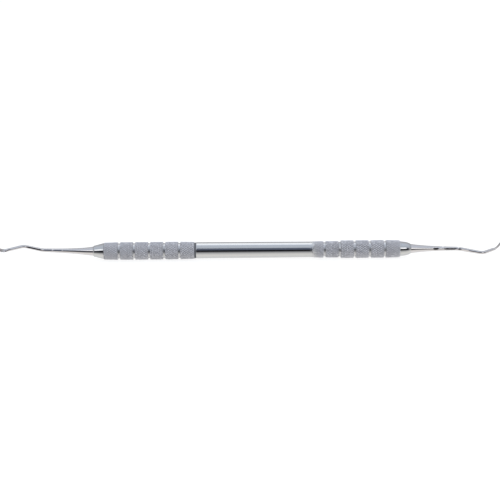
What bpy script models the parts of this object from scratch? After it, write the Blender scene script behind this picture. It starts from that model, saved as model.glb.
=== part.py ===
"""Double-ended dental hand scaler: a hollow knurled handle in two parts on an inner spigot, a nose in each
end and a bent working end in each nose. Metres. +X runs along the handle to the right, +Z is up, and the
origin is on the handle's axis at its mid-length."""

import math

import bmesh
import bpy
from mathutils import Matrix, Vector
from mathutils.geometry import interpolate_bezier

# Clearances
FIT_GAP = 0.0002
SEAT_GAP = 0.0002

# Handle, from the left nose to the right one
LEFT_NOSE_LENGTH = 0.0037
BAND_PITCH = 0.00517
BAND_COUNT = 6
RING_WIDTH = 0.0004
CENTRE_LENGTH = 0.0385
FLARE_LENGTH = 0.0012
INNER_BAND_LENGTH = 0.0042
RIGHT_NOSE_LENGTH = 0.0038

CENTRE_DIAMETER = 0.0054
WALL = 0.0006
SEAM_RISE = 0.0001
GRIP_RISE = 0.00028
GRIP_TAPER = 0.00012
FLARE_RISE = 0.00008
FLARE_BANDS = 2
RING_INSET = 0.0001
SPIGOT_LENGTH = 0.0140
SPIGOT_CHAMFER = 0.0006

# Grooves between the knurled bands
GROOVE_WIDTH = 0.0009
GROOVE_FLOOR = 0.0004
GROOVE_DEPTH = 0.00042
EDGE = 0.00012

# Noses
PLUG_LENGTH = 0.0080
PLUG_WALL = 0.0006
PLUG_FLOOR = 0.0010
NOSE_LIP = 0.00035
CONE_STEP = 0.0002
CONE_ROUND = 0.0007
CONE_TURN_IN = 0.00035
BULLET_STEP = 0.0004
BULLET_TAPER = 0.0004
BULLET_POWER = 4

# Working ends. Each bend is (out from the nose face, across, up), seen with that end pointing along +X
SHANK_INSET = 0.00005
SHANK_TAPER = 0.0075
SHANK_TIP_DIAMETER = 0.00104
SHANK_STRAIGHT = 0.0030
BEND_EASE = 0.0013
HOOK_EASE = 0.0014
BLADE_WIDTH = 0.0011
BLADE_DEPTH = 0.0005
BLADE_FACE = 0.0001
FACE_TILT = math.radians(20)
HEEL_LENGTH = 0.0020
TOE_LENGTH = 0.0006
LEFT_BENDS = [(0.0175, -0.0002, 0.00045), (0.0242, -0.0021, 0.0013), (0.0311, 0.0001, 0.0003)]
LEFT_TOE = (0.0331, 0.0032, 0.0026)
RIGHT_BENDS = [(0.0164, 0.0, -0.00015), (0.0246, -0.0020, -0.0011), (0.0297, 0.0006, -0.0003)]
RIGHT_TOE = (0.0323, 0.0013, 0.0030)

# Mesh fineness
TURNED_SIDES = 32
CONE_ROUND_STEPS = 3
BULLET_STEPS = 10
SHANK_SIDES = 16
SHANK_STEP = 0.0016
TANGENT_SPAN = 0.0001
BEND_STEPS = 9
TOE_RINGS = 4
MERGE = 1e-7
SHARP = math.radians(30)

# Finishes: colour, roughness, metallic
POLISHED = ((0.78, 0.79, 0.82), 0.12, 1.0)
GROUND = ((0.78, 0.79, 0.82), 0.2, 1.0)
KNURLED = ((0.62, 0.63, 0.66), 0.34, 1.0)
TURNED = ((0.62, 0.63, 0.66), 0.28, 1.0)
DARK = ((0.05, 0.05, 0.06), 0.45, 0.0)

# Radii and lengths that follow from the sizes above
CENTRE_R = CENTRE_DIAMETER / 2
BORE_R = CENTRE_R - WALL
SEAM_R = CENTRE_R + SEAM_RISE
GRIP_R = CENTRE_R + GRIP_RISE
GRIP_END_R = GRIP_R - GRIP_TAPER
FLARE_R = CENTRE_R + FLARE_RISE
PLUG_R = BORE_R - FIT_GAP
TANG_BORE_R = PLUG_R - PLUG_WALL
TANG_R = TANG_BORE_R - FIT_GAP
NOSE_FACE_R = TANG_BORE_R + NOSE_LIP
SHANK_ROOT_R = NOSE_FACE_R - SHANK_INSET
SHANK_TIP_R = SHANK_TIP_DIAMETER / 2
GRIP_LENGTH = BAND_COUNT * BAND_PITCH
RIGHT_GRIP_LENGTH = INNER_BAND_LENGTH + (BAND_COUNT - 1) * BAND_PITCH
SEAM_WIDTH = RING_WIDTH + 2 * SEAT_GAP
TUBE_LENGTH = CENTRE_LENGTH + FLARE_LENGTH + RIGHT_GRIP_LENGTH
HANDLE_LENGTH = LEFT_NOSE_LENGTH + GRIP_LENGTH + SEAM_WIDTH + TUBE_LENGTH + RIGHT_NOSE_LENGTH

# Stations along the handle
LEFT_FACE_X = -HANDLE_LENGTH / 2
GRIP_END_X = LEFT_FACE_X + LEFT_NOSE_LENGTH
SEAM_X = GRIP_END_X + GRIP_LENGTH
TUBE_X = SEAM_X + SEAM_WIDTH
TUBE_END_X = TUBE_X + TUBE_LENGTH
RIGHT_FACE_X = HANDLE_LENGTH / 2


def finish(name, colour, roughness, metallic):
    material = bpy.data.materials.new(name)
    material.use_nodes = True
    shader = material.node_tree.nodes["Principled BSDF"]
    shader.inputs["Base Color"].default_value = (*colour, 1.0)
    shader.inputs["Roughness"].default_value = roughness
    shader.inputs["Metallic"].default_value = metallic
    return material


def add_object(name, bm, material, holder, x, turn):
    """Close off a piece: normals out, shaded smooth, placed on the handle's axis at x, turned about Z."""
    bmesh.ops.remove_doubles(bm, verts=bm.verts, dist=MERGE)
    bmesh.ops.recalc_face_normals(bm, faces=bm.faces)
    mesh = bpy.data.meshes.new(name)
    bm.to_mesh(mesh)
    bm.free()
    mesh.shade_smooth()
    mesh.set_sharp_from_angle(angle=SHARP)
    mesh.materials.append(material)
    piece = bpy.data.objects.new(name, mesh)
    piece.location.x = x
    piece.rotation_euler.z = turn
    piece.parent = holder
    bpy.context.scene.collection.objects.link(piece)
    return piece


def turned(profile):
    """Spin an outline of (along, radius) points about the X axis, with one of the flats facing down."""
    bm = bmesh.new()
    half_side = Matrix.Rotation(math.pi / TURNED_SIDES, 3, "X")
    points = [bm.verts.new(half_side @ Vector((x, 0.0, r))) for x, r in profile]
    hollow = profile[0][1] > 0
    ends = points[1:] + points[:1] if hollow else points[1:]
    edges = [bm.edges.new(pair) for pair in zip(points, ends)]
    bmesh.ops.spin(
        bm,
        geom=points + edges,
        cent=(0, 0, 0),
        axis=(1, 0, 0),
        angle=math.tau,
        steps=TURNED_SIDES,
        use_merge=True,
    )
    return bm


def banded(start, lengths, radii):
    """Outline of a row of bands of these lengths and radii, with a groove between each two bands."""
    floor_r = GRIP_R - GROOVE_DEPTH
    outline = []
    joint = start
    for length, radius, next_radius in zip(lengths, radii, radii[1:]):
        joint += length
        outline += [
            (joint - GROOVE_WIDTH / 2, radius),
            (joint - GROOVE_FLOOR / 2, floor_r),
            (joint + GROOVE_FLOOR / 2, floor_r),
            (joint + GROOVE_WIDTH / 2, next_radius),
        ]
    return outline


def left_grip_profile():
    """From the seam, at 0, out to the nose, with its two end bands tapered."""
    bands = banded(0.0, [BAND_PITCH] * BAND_COUNT, [GRIP_R] * BAND_COUNT)
    inner_end = [(0.0, BORE_R), (0.0, GRIP_END_R - EDGE), (EDGE, GRIP_END_R)]
    outer_end = [(GRIP_LENGTH - EDGE, GRIP_END_R), (GRIP_LENGTH, GRIP_END_R - EDGE), (GRIP_LENGTH, BORE_R)]
    return inner_end + bands + outer_end


def handle_tube_profile():
    """From the seam, at 0: the narrowing polished middle, the flare and the right grip out to the nose."""
    flare_end = CENTRE_LENGTH + FLARE_LENGTH
    lengths = [INNER_BAND_LENGTH] + [BAND_PITCH] * (BAND_COUNT - 1)
    radii = [FLARE_R] * FLARE_BANDS + [GRIP_R] * (BAND_COUNT - FLARE_BANDS)
    inner_end = [(0.0, BORE_R), (0.0, SEAM_R - EDGE), (EDGE, SEAM_R)]
    flare = [(CENTRE_LENGTH, CENTRE_R), (flare_end, FLARE_R)]
    outer_end = [(TUBE_LENGTH - EDGE, GRIP_END_R), (TUBE_LENGTH, GRIP_END_R - EDGE), (TUBE_LENGTH, BORE_R)]
    return inner_end + flare + banded(flare_end, lengths, radii) + outer_end


def ring_profile():
    outer_r = SEAM_R - RING_INSET
    return [(0.0, BORE_R), (0.0, outer_r), (RING_WIDTH, outer_r), (RING_WIDTH, BORE_R)]


def spigot_profile():
    """Centred on the seam, with its ends chamfered so that they start in the bores."""
    half = SPIGOT_LENGTH / 2
    right_half = [(half - SPIGOT_CHAMFER, PLUG_R), (half, PLUG_R - SPIGOT_CHAMFER), (half, 0.0)]
    left_half = [(-x, r) for x, r in reversed(right_half)]
    return left_half + right_half


def cone_outline(length):
    """Straight cone from its step below the grip down to a rounded end."""
    outline = [(SEAT_GAP, GRIP_R - CONE_STEP)]
    for step in range(CONE_ROUND_STEPS + 1):
        angle = math.pi / 2 * step / CONE_ROUND_STEPS
        x = length - CONE_ROUND * (1 - math.sin(angle))
        outline.append((x, NOSE_FACE_R + CONE_TURN_IN * math.cos(angle)))
    return outline


def bullet_outline(length):
    """Round-shouldered nose: a slight taper whose end rounds over to the face."""
    base_r = GRIP_R - BULLET_STEP
    shoulder_r = base_r - BULLET_TAPER
    outline = []
    for step in range(BULLET_STEPS + 1):
        share = step / BULLET_STEPS
        x = SEAT_GAP + (length - SEAT_GAP) * share
        outline.append((x, base_r - BULLET_TAPER * share - (shoulder_r - NOSE_FACE_R) * share**BULLET_POWER))
    return outline


def nose_profile(outline, length):
    """The shown outline with its plug behind it and a blind bore for the tang. The grip's end is at 0."""
    bore_floor = PLUG_FLOOR - PLUG_LENGTH
    plug_end = [(-PLUG_LENGTH, 0.0), (-PLUG_LENGTH, PLUG_R - EDGE), (EDGE - PLUG_LENGTH, PLUG_R)]
    bore = [(length, TANG_BORE_R), (bore_floor, TANG_BORE_R), (bore_floor, 0.0)]
    return plug_end + [(SEAT_GAP, PLUG_R)] + outline + bore


def bend_path(corners, eases):
    """Points along a line through the corners, each corner but the ends eased into a smooth bend."""
    path = [corners[0]]
    for before, corner, after, ease in zip(corners, corners[1:], corners[2:], eases):
        ease_in = min(ease, (before - corner).length / 2)
        ease_out = min(ease, (after - corner).length / 2)
        first = corner + (before - corner).normalized() * ease_in
        last = corner + (after - corner).normalized() * ease_out
        first_handle = first.lerp(corner, 2 / 3)
        last_handle = last.lerp(corner, 2 / 3)
        path += interpolate_bezier(first, first_handle, last_handle, last, BEND_STEPS)
    path.append(corners[-1])
    return [point for point, after in zip(path, path[1:]) if (after - point).length > MERGE] + path[-1:]


def path_length(path):
    return sum((end - start).length for start, end in zip(path, path[1:]))


def point_at(path, distance):
    """The point at a distance along the path, held to the path's two ends."""
    distance = max(distance, 0.0)
    for start, end in zip(path, path[1:]):
        step = (end - start).length
        if distance <= step:
            return start.lerp(end, distance / step)
        distance -= step
    return path[-1]


def direction_at(path, distance):
    return (point_at(path, distance + TANGENT_SPAN) - point_at(path, distance - TANGENT_SPAN)).normalized()


def stations_along(path, finish):
    """Distances of the path's own points up to finish, with its straight legs cut into steps."""
    distances = [0.0]
    for start, end in zip(path, path[1:]):
        leg = (end - start).length
        parts = math.ceil(leg / SHANK_STEP)
        leg_start = distances[-1]
        distances += [leg_start + leg * part / parts for part in range(1, parts + 1)]
    return [distance for distance in distances if distance < finish - TANGENT_SPAN] + [finish]


def shank_radius(distance):
    """Thick at the nose, falling away quickly and then slowly to the thin end."""
    return SHANK_TIP_R + (SHANK_ROOT_R - SHANK_TIP_R) * math.exp(-distance / SHANK_TAPER)


def smooth_share(value):
    share = min(max(value, 0.0), 1.0)
    return share * share * (3 - 2 * share)


def section(radius, blade, scale):
    """Round shank section, turning by the blade share into a half-round back under a flat tilted face."""
    points = []
    for side in range(SHANK_SIDES):
        angle = math.tau * side / SHANK_SIDES
        across, up = math.cos(angle), math.sin(angle)
        round_point = Vector((across, up)) * radius
        height = BLADE_FACE if up >= 0 else BLADE_FACE + up * BLADE_DEPTH
        blade_point = Vector((across * BLADE_WIDTH / 2, height)) * scale
        point = round_point.lerp(blade_point, blade)
        point.rotate(Matrix.Rotation(FACE_TILT * blade, 2))
        points.append(point)
    return points


def ring_at(bm, point, direction, hook_axis, flat):
    """Lay a flat section square to the path, its width along the axis that the hook turns about."""
    across = (hook_axis - direction * hook_axis.dot(direction)).normalized()
    up = across.cross(direction)
    return [bm.verts.new(point + across * p.x + up * p.y) for p in flat]


def bridge(bm, first, second):
    """Side faces between two rings of points."""
    for side, vert in enumerate(first):
        after = (side + 1) % len(first)
        bm.faces.new((vert, first[after], second[after], second[side]))


def working_end(bends, toe, tang_length):
    """Tang, tapered shank and hooked blade in one piece, pointing along +X from the nose face at 0."""
    corners = [Vector((SEAT_GAP, 0, 0)), Vector((SHANK_STRAIGHT, 0, 0))] + [Vector(bend) for bend in bends]
    eases = [BEND_EASE] * (len(corners) - 2) + [HOOK_EASE]
    path = bend_path(corners + [Vector(toe)], eases)
    total = path_length(path)
    heel = path_length(bend_path(corners, eases))
    terminal = corners[-1] - corners[-2]
    hook_axis = terminal.cross(Vector(toe) - corners[-1]).normalized()

    shank_end = total - TOE_LENGTH
    stations = [(distance, 1.0) for distance in stations_along(path, shank_end)]
    for ring in range(1, TOE_RINGS):
        angle = math.pi / 2 * ring / TOE_RINGS
        stations.append((shank_end + TOE_LENGTH * math.sin(angle), math.cos(angle)))

    bm = bmesh.new()
    rings = []
    ahead = Vector((1, 0, 0))
    for x, radius in [(-tang_length, TANG_R - EDGE), (EDGE - tang_length, TANG_R), (SEAT_GAP, TANG_R)]:
        rings.append(ring_at(bm, ahead * x, ahead, hook_axis, section(radius, 0.0, 1.0)))
    for distance, scale in stations:
        blade = smooth_share((distance - heel + HEEL_LENGTH) / HEEL_LENGTH)
        flat = section(shank_radius(distance), blade, scale)
        rings.append(ring_at(bm, point_at(path, distance), direction_at(path, distance), hook_axis, flat))
    for first, second in zip(rings, rings[1:]):
        bridge(bm, first, second)
    bm.faces.new(rings[0])
    tip = bm.verts.new(path[-1])
    for side, vert in enumerate(rings[-1]):
        bm.faces.new((vert, rings[-1][(side + 1) % SHANK_SIDES], tip))
    return bm


def build():
    for old in list(bpy.data.objects):
        bpy.data.objects.remove(old)
    holder = bpy.data.objects.new("hand_scaler", None)
    bpy.context.scene.collection.objects.link(holder)

    cone = nose_profile(cone_outline(LEFT_NOSE_LENGTH), LEFT_NOSE_LENGTH)
    bullet = nose_profile(bullet_outline(RIGHT_NOSE_LENGTH), RIGHT_NOSE_LENGTH)
    hidden_tang = PLUG_LENGTH - PLUG_FLOOR - SEAT_GAP
    left_end = working_end(LEFT_BENDS, LEFT_TOE, LEFT_NOSE_LENGTH + hidden_tang)
    right_end = working_end(RIGHT_BENDS, RIGHT_TOE, RIGHT_NOSE_LENGTH + hidden_tang)
    pieces = [
        ("left_working_end", left_end, GROUND, LEFT_FACE_X, math.pi),
        ("left_nose_cone", turned(cone), POLISHED, GRIP_END_X, math.pi),
        ("left_grip", turned(left_grip_profile()), KNURLED, SEAM_X, math.pi),
        ("joint_ring", turned(ring_profile()), DARK, SEAM_X + SEAT_GAP, 0.0),
        ("joint_spigot", turned(spigot_profile()), TURNED, SEAM_X + SEAM_WIDTH / 2, 0.0),
        ("handle_tube", turned(handle_tube_profile()), POLISHED, TUBE_X, 0.0),
        ("right_nose_cone", turned(bullet), POLISHED, TUBE_END_X, 0.0),
        ("right_working_end", right_end, GROUND, RIGHT_FACE_X, 0.0),
    ]
    for name, bm, look, x, turn in pieces:
        add_object(name, bm, finish(name + "_finish", *look), holder, x, turn)


build()
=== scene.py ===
"""Looks of the double-ended hand scaler: the knurled grips, the polished middle and noses, the ground
working ends, and the studio. Metres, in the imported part's frame: +X runs along the handle to the right,
-Y is towards the camera and +Z is up."""

import math

import bmesh
import bpy
import numpy as np
from mathutils import Matrix, Vector
from mathutils.geometry import interpolate_bezier


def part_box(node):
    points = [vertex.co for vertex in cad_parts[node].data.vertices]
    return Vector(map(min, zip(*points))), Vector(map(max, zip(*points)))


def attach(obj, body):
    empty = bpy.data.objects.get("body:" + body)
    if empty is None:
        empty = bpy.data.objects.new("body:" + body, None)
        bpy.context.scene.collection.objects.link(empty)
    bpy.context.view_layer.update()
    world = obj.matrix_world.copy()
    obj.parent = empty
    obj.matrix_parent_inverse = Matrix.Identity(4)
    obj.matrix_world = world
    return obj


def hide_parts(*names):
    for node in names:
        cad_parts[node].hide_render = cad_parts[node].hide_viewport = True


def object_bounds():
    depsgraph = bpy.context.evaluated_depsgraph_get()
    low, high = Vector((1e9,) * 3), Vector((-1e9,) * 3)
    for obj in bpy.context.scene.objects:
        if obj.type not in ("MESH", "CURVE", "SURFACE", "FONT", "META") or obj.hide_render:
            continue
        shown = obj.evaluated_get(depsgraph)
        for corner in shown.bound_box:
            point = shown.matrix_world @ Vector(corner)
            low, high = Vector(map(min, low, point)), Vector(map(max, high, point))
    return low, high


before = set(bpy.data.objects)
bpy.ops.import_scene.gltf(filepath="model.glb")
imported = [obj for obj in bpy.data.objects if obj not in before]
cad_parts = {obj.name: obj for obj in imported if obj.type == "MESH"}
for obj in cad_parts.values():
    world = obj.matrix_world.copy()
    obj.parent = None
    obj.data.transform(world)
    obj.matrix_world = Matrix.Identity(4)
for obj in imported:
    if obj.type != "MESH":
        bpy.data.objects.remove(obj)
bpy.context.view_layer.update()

BODY = "root"

# Handle: lengths along it and radii about it
BAND_PITCH = 0.00517
BAND_COUNT = 6
INNER_BAND_LENGTH = 0.0042
FLARE_LENGTH = 0.0012
FLARE_R = 0.00278
FLARE_BANDS = 2
CENTRE_R = 0.0027
SEAM_RISE = 0.0001
GRIP_TAPER = 0.00012
BORE_R = 0.0021
GROOVE_WIDTH = 0.0009
GROOVE_FLOOR = 0.0006
GROOVE_DEPTH = 0.00042
END_ROUND = 0.0003
END_DROP = 0.00012
CENTRE_ROUND = 0.0002
CENTRE_DROP = 0.00012

# Dark ring in the seam
RING_R = 0.0027
RING_WIDTH = 0.0006
RING_GAP = 0.00002
RING_ROUND = 0.00008

# Knurl: two sets of cuts that cross and leave diamonds; each grip's is turned by a share of a diamond
KNURL_PITCH = 0.0011
KNURL_COUNT = 26
KNURL_DEPTH = 0.00019
LEFT_KNURL_DEPTH = 0.7 * KNURL_DEPTH
KNURL_PROUD = 0.00004
KNURL_RUN_IN = 0.0042
LEFT_KNURL_TURN = -0.25
RIGHT_KNURL_TURN = 0.0

# Diamonds: the share of each that is flank, how far the tops vary and lean, as shares of the depth, and how
# unevenly bright the painted glints on their tops are, which only the finish shows
KNURL_BLUNT = 0.42
KNURL_UNEVEN = 0.15
KNURL_LEAN = 0.6
KNURL_GLINT = 0.35
KNURL_SEED = 11
KNURL_DRAWS = 200

# Shares for the finish: relief where no knurl is cut, and how much of the knurl's finish the grooves have
PLAIN_RELIEF = 0.45
GROOVE_DULL = 0.35

# Noses: the plug and blind bore behind each, the left one's cone and the right one's bullet
PLUG_LENGTH = 0.0080
PLUG_R = 0.0019
PLUG_FLOOR = 0.0010
PLUG_EDGE = 0.00012
TANG_BORE_R = 0.0013
NOSE_FACE_R = 0.00165
NOSE_SEAT = 0.00003
CONE_STEP = 0.0002
CONE_EDGE = 0.00012
CONE_ROUND = 0.0007
CONE_TURN_IN = 0.00035
BULLET_STEP = 0.0004
BULLET_TAPER = 0.0004
BULLET_POWER = 4

# Working ends
SHANK_ROOT_R = 0.0016
SHANK_TIP_R = 0.00052
SHANK_TAPER = 0.0075
SHANK_STRAIGHT = 0.0030
SHANK_SEAT = 0.00003
TANG_R = 0.0011
TANG_LENGTH = 0.0068
BEND_EASE = 0.0013
BEND_PULL = 2 / 3
HOOK_EASE = 0.0014
BLADE_WIDTH = 0.0011
BLADE_DEPTH = 0.0005
BLADE_FACE = 0.0001
FACE_TILT = math.radians(20)
HEEL_LENGTH = 0.0020
TOE_LENGTH = 0.0006

# Bends and toes: out from the nose face, across and up, seen with that end pointing along +X
LEFT_BENDS = [(0.0175, -0.0002, 0.00045), (0.0242, -0.0021, 0.0013), (0.0311, 0.0001, 0.0003)]
LEFT_TOE = (0.0331, 0.0032, 0.0026)
RIGHT_BENDS = [(0.0164, 0.0, -0.00015), (0.0246, -0.0020, -0.0011), (0.0297, 0.0006, -0.0003)]
RIGHT_TOE = (0.0323, 0.0013, 0.0030)

# Flats left by grinding the shanks: start and length along the shank, depth, and the elevation that each
# faces in front, in degrees. Each comes to its depth within half its length divided by the ramp
FLAT_RAMP = 4
LEFT_FLATS = [
    (0.0104, 0.0032, 0.00003, 27),
    (0.0138, 0.0032, 0.00004, 27),
    (0.0174, 0.0062, 0.00007, 18),
    (0.0244, 0.0050, 0.00008, 44),
]
RIGHT_FLATS = [
    (0.0077, 0.0017, 0.00010, 14),
    (0.0095, 0.0017, 0.00010, 58),
    (0.0113, 0.0044, 0.00006, 12),
    (0.0157, 0.0007, 0.00008, 60),
    (0.0164, 0.0008, 0.00006, 14),
    (0.0174, 0.0029, 0.00010, -8),
]

# Mesh fineness: steps, sides and spacings, the distance that merges points and the angle of a sharp edge
KNURL_STEPS = 8
SLEEVE_SIDES = KNURL_COUNT * KNURL_STEPS
STATION_ROOM = 0.25
STATION_DIGITS = 9
GROOVE_STEPS = 6
ROUND_STEPS = 5
FLARE_STEPS = 10
TURNED_SIDES = 96
CONE_STEPS = 10
BULLET_STEPS = 28
SHANK_SIDES = 64
SHANK_STEP = 0.0002
BEND_STEPS = 14
TOE_RINGS = 8
TANGENT_SPAN = 0.0002
MERGE = 1e-7
SHARP = math.radians(22)

# Colours of the finishes, from their darker to their lighter places
BRIGHT_STEEL = ((0.555, 0.555, 0.555), (0.60, 0.595, 0.585))
GROUND_STEEL = ((0.63, 0.606, 0.602), (0.68, 0.65, 0.635))
# Satin knurl: the dark end is painted shade for the cuts, the light end painted glints for the tops
SATIN_SHADE_TO_GLINT = ((0.206, 0.206, 0.220), (0.95, 0.944, 0.983))
TURNED_STEEL = ((0.50, 0.51, 0.53), (0.66, 0.67, 0.69))
DARK_RING = ((0.085, 0.088, 0.10), (0.125, 0.129, 0.145))
KNURL_METAL = 0.5

# Roughness of the finishes, from their smoother to their duller places
POLISH_ROUGHNESS = (0.03, 0.07)
GROUND_ROUGHNESS = (0.05, 0.13)
MIDDLE_ROUGHNESS = (0.05, 0.13)
CUT_ROUGHNESS = (0.60, 0.75)
TOP_ROUGHNESS = (0.46, 0.60)
TURNED_ROUGHNESS = (0.2, 0.38)
RING_ROUGHNESS = (0.25, 0.40)

# Noise of the finishes: marks to the metre along each axis, and the range that the noise mostly fills
STEEL_CLOUDS = (500, 500, 500)
POLISH_MARKS = (14000, 900, 900)
GROUND_MARKS = (900, 9000, 9000)
HANDLE_CLOUDS = (700, 700, 700)
MIDDLE_MARKS = (16000, 1200, 1200)
KNURL_GRAIN = (9000, 9000, 9000)
TURNED_MARKS = (20000, 200, 200)
RING_GRAIN = (6000, 6000, 6000)
NOISE_DETAIL = 3.0
NOISE_RANGE = (0.3, 0.7)

# Bump of the finishes: the strengths, and the one height
POLISH_BUMP = 0.05
KNURL_BUMP = 0.08
TURNED_BUMP = 0.1
RING_BUMP = 0.1
BUMP_HEIGHT = 0.00002

# Sockets that a Mix node uses for colours
MIX_FIRST = 6
MIX_SECOND = 7
MIX_RESULT = 2

# Camera: angles in degrees, lens and sensor in millimetres
CAMERA_ELEVATION = 20
CAMERA_ROLL = 0.469
CAMERA_DISTANCE = 0.4778
CAMERA_TARGET = Vector((-0.00071, 0.0, -0.00003))
LENS = 100.0
SENSOR = 36.0

# Floor: its grey under the lamps, and the glow that the camera and the metal see on it
FLOOR_RADIUS = 12.0
FLOOR_SIDES = 96
FLOOR_GREY = 0.3
FLOOR_GLOW = 0.82
MATT = 0.9

# Dark card, which glows in its own colours as a painted reflection seen only in the metal: a mat on the
# floor, with the distance and colour of each row, and a wall at the card's radius, with the elevation and
# colour of each row and a peak in the middle of its top. Angles in degrees
CARD_RADIUS = 1.6
CARD_SPREAD = 50.0
CARD_COLUMNS = 31
CARD_TOP = 27.0
CARD_PEAK = 44.5
CARD_PEAK_SPREAD = 22.0
CARD_PEAK_EASE = 6.0
CARD_LIFT = 0.0004
MAT_HALF = 0.095
MAT_FLARE = 0.8
CARD_BLACK = (0.013, 0.014, 0.020)
CARD_NAVY = (0.145, 0.17, 0.235)
# Glow of each row of the mat, a painted reflection: pale near the object, dark further out
MAT_ROWS = [
    (0.0028, (1.12, 1.11, 1.08)),
    (0.0042, (1.02, 1.01, 0.995)),
    (0.0068, (0.76, 0.76, 0.765)),
    (0.0110, (0.48, 0.485, 0.50)),
    (0.0190, (0.28, 0.285, 0.30)),
    (0.0400, (0.145, 0.145, 0.145)),
    (0.1000, (0.056, 0.056, 0.056)),
    (0.4000, CARD_BLACK),
]
WALL_ROWS = [(0.0, CARD_BLACK), (17.0, CARD_BLACK), (22.0, CARD_NAVY)]

# Sky: colours at the bottom and top of its front and back, the heights between which each turns from one to
# the other, and how far back the front gives way to the back
FRONT_SKY = ((0.43, 0.43, 0.44), (0.76, 0.835, 0.965))
BACK_SKY = ((0.45, 0.46, 0.49), (0.68, 0.70, 0.74))
FRONT_RISE = (0.0, 1.0)
BACK_RISE = (0.3, 0.65)
BACK_TURN = (0.2, 0.7)

# Lamps: azimuth and elevation in degrees, distance, width, height, brightness and colour
LAMPS = [
    ("overhead", 180, 62, 0.9, 0.40, 0.70, 0.72, (0.96, 0.99, 1.0)),
    ("left_front", -38, 34, 0.9, 0.32, 0.35, 0.85, (1.0, 1.0, 1.0)),
    ("right_front", 26, 24, 0.9, 0.29, 0.27, 1.45, (1.0, 1.0, 1.0)),
]
FILL_LAMP = ("front_fill", 42, 10, 0.5, 0.5, 0.17, 4.0, (0.99, 0.995, 1.0))


def reach(node):
    """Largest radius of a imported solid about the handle's axis."""
    return max(math.hypot(v.co.y, v.co.z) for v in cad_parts[node].data.vertices)


# Places along the handle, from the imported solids
GRIP_X, SEAM_X = (corner.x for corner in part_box("left_grip"))
TUBE_X = SEAM_X + RING_WIDTH
TUBE_END_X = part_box("handle_tube")[1].x
LEFT_FACE_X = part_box("left_nose_cone")[0].x
RIGHT_FACE_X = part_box("right_nose_cone")[1].x
GRIP_R = reach("left_grip")
LEFT_GROOVES = GRIP_X + BAND_PITCH * np.arange(1, BAND_COUNT)
RIGHT_GROOVES = TUBE_END_X - BAND_PITCH * np.arange(BAND_COUNT - 1, 0, -1)
FLARE_END_X = RIGHT_GROOVES[0] - INNER_BAND_LENGTH
FLARE_X = FLARE_END_X - FLARE_LENGTH
LEFT_NOSE_LENGTH = GRIP_X - LEFT_FACE_X
RIGHT_NOSE_LENGTH = RIGHT_FACE_X - TUBE_END_X


# Meshes

def add_object(name, bm, material):
    """Turn a finished mesh into an object of the scene."""
    mesh = bpy.data.meshes.new(name)
    bm.to_mesh(mesh)
    bm.free()
    mesh.materials.append(material)
    added = bpy.data.objects.new(name, mesh)
    bpy.context.scene.collection.objects.link(added)
    return added


def add_piece(name, bm, node, material):
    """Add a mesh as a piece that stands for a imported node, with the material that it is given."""
    bmesh.ops.remove_doubles(bm, verts=bm.verts, dist=MERGE)
    bmesh.ops.dissolve_degenerate(bm, edges=bm.edges, dist=MERGE)
    bmesh.ops.recalc_face_normals(bm, faces=bm.faces)
    piece = add_object(name, bm, material)
    piece.data.shade_smooth()
    piece.data.set_sharp_from_angle(angle=SHARP)
    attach(piece, BODY)
    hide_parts(node)


def skin(bm, rings, loop=False, leaning=()):
    """Quads between rings of points, or pairs of triangles, split as leaning says, in the rows it has."""
    follows = rings[1:] + rings[:1] if loop else rings[1:]
    for row, (first, second) in enumerate(zip(rings, follows)):
        for side, a in enumerate(first):
            after = (side + 1) % len(first)
            b, c, d = first[after], second[after], second[side]
            if row >= len(leaning):
                bm.faces.new((a, b, c, d))
            elif leaning[row][side]:
                bm.faces.new((a, b, c))
                bm.faces.new((a, c, d))
            else:
                bm.faces.new((a, b, d))
                bm.faces.new((b, c, d))


def circle(bm, x, radii):
    """Ring of points about the handle's axis, with one radius for each side."""
    step = math.tau / len(radii)
    return [bm.verts.new((x, -r * math.cos(i * step), r * math.sin(i * step))) for i, r in enumerate(radii)]


def turned(profile, loop=False):
    """Spin an outline of (along, radius) points about the handle's axis."""
    bm = bmesh.new()
    rings = [circle(bm, x, [r] * TURNED_SIDES) for x, r in profile]
    skin(bm, rings, loop)
    return bm


# Grips

def saw(value):
    """0 at whole numbers, rising straight to 1 half way between them."""
    return 1 - np.abs(2 * (value % 1.0) - 1)


def smooth_share(value):
    """The value held between 0 and 1, easing in and out."""
    share = np.clip(value, 0.0, 1.0)
    return share * share * (3 - 2 * share)


def lattice_places(x, angles):
    """How many rising and how many falling cuts of the knurl lie before each station and angle."""
    along = x[:, None] / KNURL_PITCH
    around = angles[None, :] * KNURL_COUNT / math.tau
    return along + around, along - around


def knurl(x, angles):
    """Two arrays over the stations and angles. The first is the diamonds' height: 0 in the cuts and about
    1 on the tops, which are blunt and lean a little, each its own way. The second is their relief for the
    finish, from 0 in the cuts up to 1, with tops that are level but differ from each other: it paints
    shade into the cuts and glints of differing brightness onto the tops."""
    rising, falling = lattice_places(x, angles)
    rising_cut = np.floor(rising).astype(int)
    falling_cut = np.floor(falling).astype(int)
    row = (rising_cut + falling_cut) % KNURL_DRAWS
    column = (rising_cut - falling_cut) % (2 * KNURL_COUNT)
    chance = np.random.default_rng(KNURL_SEED).uniform(-1, 1, (3, KNURL_DRAWS, 2 * KNURL_COUNT))
    level, lean_along, lean_around = chance[:, row, column]
    past_rising = rising % 1.0 - 0.5
    past_falling = falling % 1.0 - 0.5
    lean = lean_along * (past_rising + past_falling) + lean_around * (past_rising - past_falling)
    tops = 1 + KNURL_UNEVEN * level + KNURL_LEAN * lean
    flanks = np.minimum(saw(rising), saw(falling)) / KNURL_BLUNT
    # The second array is painted shade in the cuts and painted glints on the tops
    return np.minimum(flanks, tops), np.minimum(flanks, 1 + KNURL_GLINT * level) / (1 + KNURL_GLINT)


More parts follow.
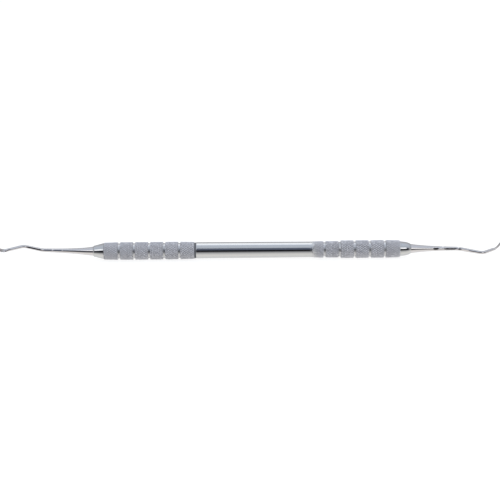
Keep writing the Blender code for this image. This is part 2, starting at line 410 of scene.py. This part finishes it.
def groove_cut(x, grooves):
    """How far the turned grooves go below the bands: flat floors, and shoulders that round over."""
    away = np.abs(x[:, None] - grooves[None, :]).min(axis=1)
    share = np.clip((away - GROOVE_FLOOR / 2) / (GROOVE_WIDTH - GROOVE_FLOOR) * 2, 0.0, 1.0)
    return GROOVE_DEPTH * (1 - np.sin(share * math.pi / 2))


def end_cut(x, end, length, drop):
    """How far a rounded end falls below the surface near it."""
    share = np.clip(1 - np.abs(x - end) / length, 0.0, 1.0)
    return drop * (1 - np.sqrt(1 - share * share))


def band_taper(x, end):
    """How far a grip's end band falls below the others on its way to the end."""
    return GRIP_TAPER * np.clip(1 - np.abs(x - end) / BAND_PITCH, 0.0, 1.0)


def round_stations(end, length):
    """Stations over a rounded end, closer together where it falls fastest."""
    return end + length * (1 - np.cos(np.linspace(0, math.pi / 2, ROUND_STEPS)))


def groove_stations(grooves):
    """Stations over the two shoulders of each groove."""
    half = np.linspace(GROOVE_FLOOR, GROOVE_WIDTH, GROOVE_STEPS) / 2
    offsets = np.concatenate([-half[::-1], half])
    return (grooves[:, None] + offsets[None, :]).ravel()


def grip_stations(start, end, grooves, fixed):
    """Even steps of the knurl from start to end, which give way to the fixed and the grooves' stations."""
    step = KNURL_PITCH / KNURL_STEPS
    room = step * STATION_ROOM
    first = math.floor((start - grooves[0]) / step)
    last = math.ceil((end - grooves[0]) / step)
    even = grooves[0] + step * np.arange(first, last)
    even = even[(even > start) & (even < end)]
    away = np.abs(even[:, None] - grooves[None, :]).min(axis=1)
    even = even[away > GROOVE_WIDTH / 2 + room]
    fixed = np.concatenate([fixed, groove_stations(grooves)])
    clear = np.abs(even[:, None] - fixed[None, :]).min(axis=1) > room
    return np.unique(np.round(np.concatenate([even[clear], fixed]), STATION_DIGITS))


def sleeve(x, shell, depth, grooves, turn):
    """Knurled tube: shell is its turned radius at each station, grooves included, and depth the knurl's
    depth there. Each point carries two values for the finish: its relief, which paints shade into the
    cuts and glints onto the tops, and how far it is knurled."""
    angles = np.arange(SLEEVE_SIDES) * math.tau / SLEEVE_SIDES
    lattice = angles + turn * math.tau / KNURL_COUNT
    height, shade_and_glint = knurl(x - grooves[0], lattice)
    groove = groove_cut(x, grooves)
    depth_share = depth / KNURL_DEPTH
    proud = KNURL_PROUD * depth_share
    knurled_r = (shell + groove + proud)[:, None] - depth[:, None] * (1 - height)
    turned_r = np.where(groove > MERGE, shell + proud, np.inf)[:, None]
    radii = np.minimum(knurled_r, turned_r)
    # Relief for the colour: painted shade in the knurl's cuts, painted glints on its tops
    relief = PLAIN_RELIEF + (shade_and_glint - PLAIN_RELIEF) * depth_share[:, None]
    knurled = (depth / depth.max())[:, None] * np.where(knurled_r <= turned_r, 1.0, GROOVE_DULL)
    middle_x = (x[1:] + x[:-1]) / 2 - grooves[0]
    rising, falling = lattice_places(middle_x, lattice + math.pi / SLEEVE_SIDES)
    leaning = saw(falling) < saw(rising)

    bm = bmesh.new()
    relief_layer = bm.verts.layers.float.new("relief")
    knurled_layer = bm.verts.layers.float.new("knurled")
    rings = []
    for row, station in enumerate(x):
        ring = circle(bm, station, radii[row])
        for side, vert in enumerate(ring):
            vert[relief_layer] = float(relief[row, side])
            vert[knurled_layer] = float(knurled[row, side])
        rings.append(ring)
    bore = [BORE_R] * SLEEVE_SIDES
    rings += [circle(bm, x[-1], bore), circle(bm, x[0], bore)]
    skin(bm, rings, True, leaning)
    return bm


def left_grip(material):
    """Six knurled bands, of which the first and the last taper to the grip's ends."""
    ends = np.concatenate([round_stations(GRIP_X, END_ROUND), round_stations(SEAM_X, -END_ROUND)])
    x = grip_stations(GRIP_X, SEAM_X, LEFT_GROOVES, ends)
    shell = GRIP_R - groove_cut(x, LEFT_GROOVES)
    shell -= end_cut(x, GRIP_X, END_ROUND, END_DROP) + end_cut(x, SEAM_X, END_ROUND, END_DROP)
    shell -= band_taper(x, GRIP_X) + band_taper(x, SEAM_X)
    depth = np.full(len(x), LEFT_KNURL_DEPTH)
    bm = sleeve(x, shell, depth, LEFT_GROOVES, LEFT_KNURL_TURN)
    add_piece("left_grip_knurled", bm, "left_grip", material)


def handle_tube(material):
    """The polished middle, the flare, over which the knurl runs in, and the right grip."""
    fixed = np.concatenate([
        round_stations(TUBE_X, CENTRE_ROUND),
        np.linspace(FLARE_X, FLARE_END_X, FLARE_STEPS),
        round_stations(TUBE_END_X, -END_ROUND),
    ])
    x = grip_stations(FLARE_X, TUBE_END_X, RIGHT_GROOVES, fixed)
    band_r = np.where(x < RIGHT_GROOVES[FLARE_BANDS - 1], FLARE_R, GRIP_R)
    run_in = smooth_share((x - FLARE_X) / KNURL_RUN_IN)
    centre_r = CENTRE_R + SEAM_RISE * np.clip((FLARE_X - x) / (FLARE_X - TUBE_X), 0.0, 1.0)
    turned_r = centre_r + (band_r - centre_r) * run_in
    shell = turned_r - groove_cut(x, RIGHT_GROOVES)
    shell -= end_cut(x, TUBE_X, CENTRE_ROUND, CENTRE_DROP) + end_cut(x, TUBE_END_X, END_ROUND, END_DROP)
    shell -= band_taper(x, TUBE_END_X)
    bm = sleeve(x, shell, KNURL_DEPTH * run_in, RIGHT_GROOVES, RIGHT_KNURL_TURN)
    add_piece("handle_tube_finished", bm, "handle_tube", material)


def joint_ring(material):
    """Flat ring with rounded edges that nearly fills the seam."""
    start, end = SEAM_X + RING_GAP, TUBE_X - RING_GAP
    outline = [(start, BORE_R), (start, RING_R - RING_ROUND)]
    outline += [(start + RING_ROUND, RING_R), (end - RING_ROUND, RING_R)]
    outline += [(end, RING_R - RING_ROUND), (end, BORE_R)]
    add_piece("joint_ring_dark", turned(outline, loop=True), "joint_ring", material)


# Noses

def nose(name, node, outline, base_x, length, way, material):
    """The shown outline, out from the grip's end, with its plug behind it and a blind bore for the tang."""
    bore_floor = PLUG_FLOOR - PLUG_LENGTH
    plug = [(-PLUG_LENGTH, 0.0), (-PLUG_LENGTH, PLUG_R - PLUG_EDGE), (PLUG_EDGE - PLUG_LENGTH, PLUG_R)]
    bore = [(length, TANG_BORE_R), (bore_floor, TANG_BORE_R), (bore_floor, 0.0)]
    profile = plug + [(NOSE_SEAT, PLUG_R)] + outline + bore
    placed = [(base_x + way * x, r) for x, r in profile]
    add_piece(name, turned(placed), node, material)


def left_nose(material):
    """Straight cone with a small edge at its base and a rounded end."""
    base_r = GRIP_R - CONE_STEP
    outline = [(NOSE_SEAT, base_r - CONE_EDGE / 2), (NOSE_SEAT + CONE_EDGE, base_r)]
    for step in range(CONE_STEPS + 1):
        angle = math.pi / 2 * step / CONE_STEPS
        x = LEFT_NOSE_LENGTH - CONE_ROUND * (1 - math.sin(angle))
        outline.append((x, NOSE_FACE_R + CONE_TURN_IN * math.cos(angle)))
    nose("left_nose_polished", "left_nose_cone", outline, GRIP_X, LEFT_NOSE_LENGTH, -1, material)


def right_nose(material):
    """Round-shouldered bullet: a slight taper whose end rounds over to the face."""
    base_r = GRIP_R - BULLET_STEP
    shoulder_r = base_r - BULLET_TAPER
    outline = []
    for step in range(BULLET_STEPS + 1):
        share = math.sin(math.pi / 2 * step / BULLET_STEPS)
        x = NOSE_SEAT + (RIGHT_NOSE_LENGTH - NOSE_SEAT) * share
        rounding = (shoulder_r - NOSE_FACE_R) * share**BULLET_POWER
        outline.append((x, base_r - BULLET_TAPER * share - rounding))
    nose("right_nose_polished", "right_nose_cone", outline, TUBE_END_X, RIGHT_NOSE_LENGTH, 1, material)


# Working ends

def bend_path(corners, eases):
    """Points along a line through the corners, each corner but the ends eased into a smooth bend."""
    path = [corners[0]]
    for before, corner, after, ease in zip(corners, corners[1:], corners[2:], eases):
        first = corner + (before - corner).normalized() * min(ease, (before - corner).length / 2)
        last = corner + (after - corner).normalized() * min(ease, (after - corner).length / 2)
        first_handle = first.lerp(corner, BEND_PULL)
        last_handle = last.lerp(corner, BEND_PULL)
        path += interpolate_bezier(first, first_handle, last_handle, last, BEND_STEPS)
    path.append(corners[-1])
    return [point for point, after in zip(path, path[1:]) if (after - point).length > MERGE] + path[-1:]


def path_length(path):
    return sum((end - start).length for start, end in zip(path, path[1:]))


def point_at(path, distance):
    """The point at a distance along the path, held to the path's two ends."""
    distance = max(distance, 0.0)
    for start, end in zip(path, path[1:]):
        step = (end - start).length
        if distance <= step:
            return start.lerp(end, distance / step)
        distance -= step
    return path[-1]


def direction_at(path, distance):
    return (point_at(path, distance + TANGENT_SPAN) - point_at(path, distance - TANGENT_SPAN)).normalized()


def shank_radius(distance):
    """Thick at the nose, falling away quickly and then slowly to the thin end."""
    return SHANK_TIP_R + (SHANK_ROOT_R - SHANK_TIP_R) * math.exp(-distance / SHANK_TAPER)


def section(radius, blade, scale):
    """Round shank section, turning by the blade share into a half-round back under a flat tilted face."""
    points = []
    for side in range(SHANK_SIDES):
        angle = math.tau * side / SHANK_SIDES
        across, up = math.cos(angle), math.sin(angle)
        round_point = Vector((across, up)) * radius
        height = BLADE_FACE if up >= 0 else BLADE_FACE + up * BLADE_DEPTH
        blade_point = Vector((across * BLADE_WIDTH / 2, height)) * scale
        point = round_point.lerp(blade_point, blade)
        point.rotate(Matrix.Rotation(FACE_TILT * blade, 2))
        points.append(point)
    return points


def section_axes(direction, hook_axis):
    """The two axes of a section square to the path, its width along the axis that the hook turns about."""
    across = (hook_axis - direction * hook_axis.dot(direction)).normalized()
    return across, across.cross(direction)


def ring_at(bm, point, axes, points):
    """Lay a flat section at a point of the path."""
    across, up = axes
    return [bm.verts.new(point + across * p.x + up * p.y) for p in points]


def cut_flats(points, radius, distance, axes, flats, front):
    """Cut a section by the flats that reach this distance, each shallower close to its ends."""
    for start, length, depth, elevation in flats:
        share = 2 * (distance - start) / length - 1
        if abs(share) >= 1:
            continue
        tilt = math.radians(elevation)
        facing = front * math.cos(tilt) + Vector((0, 0, math.sin(tilt)))
        way = Vector((facing.dot(axes[0]), facing.dot(axes[1]))).normalized()
        limit = radius - depth * min((1 - abs(share)) * FLAT_RAMP, 1.0)
        points = [p - way * max(p.dot(way) - limit, 0.0) for p in points]
    return points


def working_end(name, node, bends, toe, flats, nose_length, face_x, turn, material):
    """Tang, tapered shank and hooked blade in one piece, out from the nose face."""
    front = Matrix.Rotation(-turn, 3, "Z") @ Vector((0, -1, 0))
    corners = [Vector((SHANK_SEAT, 0, 0)), Vector((SHANK_STRAIGHT, 0, 0))]
    corners += [Vector(bend) for bend in bends]
    eases = [BEND_EASE] * (len(corners) - 2) + [HOOK_EASE]
    path = bend_path(corners + [Vector(toe)], eases)
    total = path_length(path)
    heel = path_length(bend_path(corners, eases))
    hook_axis = (corners[-1] - corners[-2]).cross(Vector(toe) - corners[-1]).normalized()

    shank_end = total - TOE_LENGTH
    count = math.ceil(shank_end / SHANK_STEP)
    stations = [(shank_end * i / count, 1.0) for i in range(count + 1)]
    for ring in range(1, TOE_RINGS):
        angle = math.pi / 2 * ring / TOE_RINGS
        stations.append((shank_end + TOE_LENGTH * math.sin(angle), math.cos(angle)))

    bm = bmesh.new()
    ahead = Vector((1, 0, 0))
    tang_end = -nose_length - TANG_LENGTH
    rings = []
    for x, radius in [(tang_end, TANG_R - PLUG_EDGE), (tang_end + PLUG_EDGE, TANG_R), (SHANK_SEAT, TANG_R)]:
        rings.append(ring_at(bm, ahead * x, section_axes(ahead, hook_axis), section(radius, 0.0, 1.0)))
    for distance, scale in stations:
        axes = section_axes(direction_at(path, distance), hook_axis)
        blade = float(smooth_share((distance - heel + HEEL_LENGTH) / HEEL_LENGTH))
        radius = shank_radius(distance)
        points = cut_flats(section(radius, blade, scale), radius, distance, axes, flats, front)
        rings.append(ring_at(bm, point_at(path, distance), axes, points))
    skin(bm, rings)
    bm.faces.new(rings[0])
    tip = bm.verts.new(path[-1])
    for side, vert in enumerate(rings[-1]):
        bm.faces.new((vert, rings[-1][(side + 1) % SHANK_SIDES], tip))
    bm.transform(Matrix.Translation((face_x, 0, 0)) @ Matrix.Rotation(turn, 4, "Z"))
    add_piece(name, bm, node, material)


# Materials

def new_material(name):
    """A Principled material with its node tree and its shader."""
    material = bpy.data.materials.new(name)
    material.use_nodes = True
    tree = material.node_tree
    return material, tree, tree.nodes["Principled BSDF"]


def object_place(tree):
    """The piece's own coordinates."""
    return tree.nodes.new("ShaderNodeTexCoord").outputs["Object"]


def point_values(tree, name):
    """Outputs of a node that reads what the mesh keeps on its points."""
    reader = tree.nodes.new("ShaderNodeAttribute")
    reader.attribute_name = name
    return reader.outputs


def noise(tree, place, scale):
    """Noise with its own scale along each axis."""
    stretch = tree.nodes.new("ShaderNodeMapping")
    stretch.inputs["Scale"].default_value = scale
    tree.links.new(place, stretch.inputs["Vector"])
    texture = tree.nodes.new("ShaderNodeTexNoise")
    texture.inputs["Scale"].default_value = 1.0
    texture.inputs["Detail"].default_value = NOISE_DETAIL
    tree.links.new(stretch.outputs["Vector"], texture.inputs["Vector"])
    return texture.outputs["Fac"]


def between(tree, value, targets, source=NOISE_RANGE):
    """The value taken from its source range to the range between the two targets."""
    spread = tree.nodes.new("ShaderNodeMapRange")
    spread.inputs["From Min"].default_value = source[0]
    spread.inputs["From Max"].default_value = source[1]
    spread.inputs["To Min"].default_value = targets[0]
    spread.inputs["To Max"].default_value = targets[1]
    tree.links.new(value, spread.inputs["Value"])
    return spread.outputs["Result"]


def blended(tree, share, first, second):
    """A colour between two, each a colour or a socket."""
    mix = tree.nodes.new("ShaderNodeMix")
    mix.data_type = "RGBA"
    tree.links.new(share, mix.inputs["Factor"])
    for socket, colour in ((mix.inputs[MIX_FIRST], first), (mix.inputs[MIX_SECOND], second)):
        if isinstance(colour, tuple):
            socket.default_value = (*colour, 1.0)
        else:
            tree.links.new(colour, socket)
    return mix.outputs[MIX_RESULT]


def mixed(tree, share, first, second):
    """A value between two."""
    mix = tree.nodes.new("ShaderNodeMix")
    tree.links.new(share, mix.inputs["Factor"])
    tree.links.new(first, mix.inputs["A"])
    tree.links.new(second, mix.inputs["B"])
    return mix.outputs["Result"]


def bumped(tree, height, shader, strength):
    """Bump of the shader by a height between 0 and 1."""
    bump = tree.nodes.new("ShaderNodeBump")
    bump.inputs["Strength"].default_value = strength
    bump.inputs["Distance"].default_value = BUMP_HEIGHT
    tree.links.new(height, bump.inputs["Height"])
    tree.links.new(bump.outputs["Normal"], shader.inputs["Normal"])


def polished_steel(name, colours, marks, roughness):
    """Bright steel with faint clouds and polishing marks."""
    material, tree, shader = new_material(name)
    shader.inputs["Metallic"].default_value = 1.0
    place = object_place(tree)
    cloud = noise(tree, place, STEEL_CLOUDS)
    fine = noise(tree, place, marks)
    tree.links.new(blended(tree, cloud, *colours), shader.inputs["Base Color"])
    tree.links.new(between(tree, fine, roughness), shader.inputs["Roughness"])
    bumped(tree, fine, shader, POLISH_BUMP)
    return material


def handle_steel(name):
    """Satin knurl with painted shade in its cuts and painted glints on its tops, beside bright turned
    bands.
    """
    material, tree, shader = new_material(name)
    place = object_place(tree)
    relief = point_values(tree, "relief")["Fac"]
    knurled = point_values(tree, "knurled")["Fac"]
    cloud = noise(tree, place, HANDLE_CLOUDS)
    fine = noise(tree, place, MIDDLE_MARKS)
    grain = noise(tree, place, KNURL_GRAIN)
    bright = blended(tree, cloud, *BRIGHT_STEEL)
    # Satin colour by relief: painted shade in the cuts and painted glints on the tops
    satin = blended(tree, relief, *SATIN_SHADE_TO_GLINT)
    tree.links.new(blended(tree, knurled, bright, satin), shader.inputs["Base Color"])
    smooth = between(tree, fine, MIDDLE_ROUGHNESS)
    cuts = between(tree, grain, CUT_ROUGHNESS)
    tops = between(tree, grain, TOP_ROUGHNESS)
    rough = mixed(tree, knurled, smooth, mixed(tree, relief, cuts, tops))
    tree.links.new(rough, shader.inputs["Roughness"])
    metal = between(tree, knurled, (1.0, KNURL_METAL), (0.0, 1.0))
    tree.links.new(metal, shader.inputs["Metallic"])
    bumped(tree, grain, shader, KNURL_BUMP)
    return material


def dark_ring(name):
    """Dark satin ring with a fine grain."""
    material, tree, shader = new_material(name)
    grain = noise(tree, object_place(tree), RING_GRAIN)
    tree.links.new(blended(tree, grain, *DARK_RING), shader.inputs["Base Color"])
    tree.links.new(between(tree, grain, RING_ROUGHNESS), shader.inputs["Roughness"])
    bumped(tree, grain, shader, RING_BUMP)
    return material


def turned_steel(name):
    """Plain turned steel with its tool rings."""
    material, tree, shader = new_material(name)
    shader.inputs["Metallic"].default_value = 1.0
    rings = noise(tree, object_place(tree), TURNED_MARKS)
    tree.links.new(blended(tree, rings, *TURNED_STEEL), shader.inputs["Base Color"])
    tree.links.new(between(tree, rings, TURNED_ROUGHNESS), shader.inputs["Roughness"])
    bumped(tree, rings, shader, TURNED_BUMP)
    return material


def stage_material(name, grey):
    """Matt material of the stage, with its node tree and its shader."""
    material, tree, shader = new_material(name)
    shader.inputs["Base Color"].default_value = (grey, grey, grey, 1.0)
    shader.inputs["Roughness"].default_value = MATT
    shader.inputs["Specular IOR Level"].default_value = 0.0
    return material, tree, shader


# Studio

def direction(azimuth, elevation):
    """Unit vector from the object: azimuth 0 is towards the camera and turns to the right, in degrees."""
    a, e = math.radians(azimuth), math.radians(elevation)
    return Vector((math.sin(a) * math.cos(e), -math.cos(a) * math.cos(e), math.sin(e)))


def softbox(name, azimuth, elevation, distance, width, height, brightness, colour):
    """Area lamp facing the object. Its brightness is that of its face, 1 for white."""
    data = bpy.data.lights.new(name, "AREA")
    data.shape = "RECTANGLE"
    data.size, data.size_y = width, height
    data.energy = math.pi * width * height * brightness
    data.color = colour
    lamp = bpy.data.objects.new(name, data)
    away = direction(azimuth, elevation)
    lamp.location = away * distance
    lamp.rotation_euler = away.to_track_quat("Z", "Y").to_euler()
    lamp.visible_camera = False
    bpy.context.scene.collection.objects.link(lamp)
    return lamp


def studio_floor(level):
    """Pale floor that the camera and the metal see as white, with the object's shadow left on it."""
    material, tree, shader = stage_material("studio_floor", FLOOR_GREY)
    path = tree.nodes.new("ShaderNodeLightPath")
    seen = path.outputs["Is Camera Ray"]
    for kind in ("Is Glossy Ray", "Is Transmission Ray"):
        either = tree.nodes.new("ShaderNodeMath")
        either.operation = "MAXIMUM"
        tree.links.new(seen, either.inputs[0])
        tree.links.new(path.outputs[kind], either.inputs[1])
        seen = either.outputs["Value"]
    shader.inputs["Emission Color"].default_value = (1.0, 1.0, 1.0, 1.0)
    glow = between(tree, seen, (0.0, FLOOR_GLOW), (0.0, 1.0))
    tree.links.new(glow, shader.inputs["Emission Strength"])

    bm = bmesh.new()
    bmesh.ops.create_circle(bm, cap_ends=True, segments=FLOOR_SIDES, radius=FLOOR_RADIUS)
    floor = add_object("studio_floor", bm, material)
    floor.location.z = level


def card_column(share, level):
    """Spots and glowing colours of the dark card, a painted reflection, outwards and then up, at a share of
    its half width.
    """
    azimuth = share * CARD_SPREAD
    peak = float(smooth_share((CARD_PEAK_SPREAD - abs(azimuth)) / CARD_PEAK_EASE))
    top = CARD_TOP + (CARD_PEAK - CARD_TOP) * peak
    spots = []
    for away, colour in MAT_ROWS:
        x = share * (MAT_HALF + MAT_FLARE * away)
        spots.append((Vector((x, -away, level + CARD_LIFT)), colour))
    for elevation, colour in WALL_ROWS + [(top, CARD_NAVY)]:
        spot = direction(azimuth, 0) * CARD_RADIUS
        spot.z = CARD_RADIUS * math.tan(math.radians(elevation))
        spots.append((spot, colour))
    return spots


def glowing_card(level):
    """Dark card in front of the object, seen only in the metal, which gives it its dark line. It glows in
    its
    tones as a painted reflection: it starts pale on the floor just in front, darkens as it runs out, and
    stands up into a dark blue wall."""
    material, tree, shader = stage_material("glowing_card", 0.0)
    # The card glows in its tones, a painted reflection though it is no lamp
    tree.links.new(point_values(tree, "tone")["Color"], shader.inputs["Emission Color"])
    shader.inputs["Emission Strength"].default_value = 1.0

    bm = bmesh.new()
    tone = bm.verts.layers.float_color.new("tone")
    columns = []
    for share in np.linspace(-1, 1, CARD_COLUMNS):
        column = []
        for spot, colour in card_column(float(share), level):
            vert = bm.verts.new(spot)
            vert[tone] = (*colour, 1.0)
            column.append(vert)
        columns.append(column)
    for first, second in zip(columns, columns[1:]):
        for row in range(len(first) - 1):
            bm.faces.new((first[row], second[row], second[row + 1], first[row + 1]))
    card = add_object("glowing_card", bm, material)
    card.visible_camera = False
    card.visible_diffuse = False
    card.visible_shadow = False


def studio_world():
    """Sky that lightens and turns blue upwards in front of the object, and is plainer behind it."""
    world = bpy.data.worlds.new("studio")
    bpy.context.scene.world = world
    world.use_nodes = True
    tree = world.node_tree
    background = tree.nodes["Background"]
    way = tree.nodes.new("ShaderNodeTexCoord").outputs["Generated"]
    split = tree.nodes.new("ShaderNodeSeparateXYZ")
    tree.links.new(way, split.inputs["Vector"])
    front_height = between(tree, split.outputs["Z"], (0.0, 1.0), FRONT_RISE)
    back_height = between(tree, split.outputs["Z"], (0.0, 1.0), BACK_RISE)
    behind = between(tree, split.outputs["Y"], (0.0, 1.0), BACK_TURN)
    front = blended(tree, front_height, *FRONT_SKY)
    back = blended(tree, back_height, *BACK_SKY)
    tree.links.new(blended(tree, behind, front, back), background.inputs["Color"])
    background.inputs["Strength"].default_value = 1.0


def studio_camera():
    """Camera at the photograph's angle, with a slight roll."""
    data = bpy.data.cameras.new("camera")
    data.lens = LENS
    data.sensor_width = SENSOR
    camera = bpy.data.objects.new("camera", data)
    bpy.context.scene.collection.objects.link(camera)
    away = direction(0, CAMERA_ELEVATION)
    roll = Matrix.Rotation(-math.radians(CAMERA_ROLL), 3, "Z")
    camera.location = CAMERA_TARGET + away * CAMERA_DISTANCE
    camera.rotation_euler = (away.to_track_quat("Z", "Y").to_matrix() @ roll).to_euler()
    bpy.context.scene.camera = camera


def main():
    polished = polished_steel("polished_steel", BRIGHT_STEEL, POLISH_MARKS, POLISH_ROUGHNESS)
    ground = polished_steel("ground_steel", GROUND_STEEL, GROUND_MARKS, GROUND_ROUGHNESS)
    handle = handle_steel("handle_steel")
    left_grip(handle)
    handle_tube(handle)
    joint_ring(dark_ring("dark_ring"))
    left_nose(polished)
    right_nose(polished)
    working_end(
        "left_working_end_ground", "left_working_end", LEFT_BENDS, LEFT_TOE, LEFT_FLATS,
        LEFT_NOSE_LENGTH, LEFT_FACE_X, math.pi, ground,
    )
    working_end(
        "right_working_end_ground", "right_working_end", RIGHT_BENDS, RIGHT_TOE, RIGHT_FLATS,
        RIGHT_NOSE_LENGTH, RIGHT_FACE_X, 0.0, ground,
    )
    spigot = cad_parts["joint_spigot"]
    spigot.data.materials.clear()
    spigot.data.materials.append(turned_steel("turned_steel"))

    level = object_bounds()[0].z
    studio_floor(level)
    glowing_card(level)
    studio_world()
    for lamp in LAMPS:
        softbox(*lamp)
    fill = softbox(*FILL_LAMP)
    fill.visible_glossy = False
    studio_camera()
    bpy.context.scene.view_settings.view_transform = "Standard"


main()
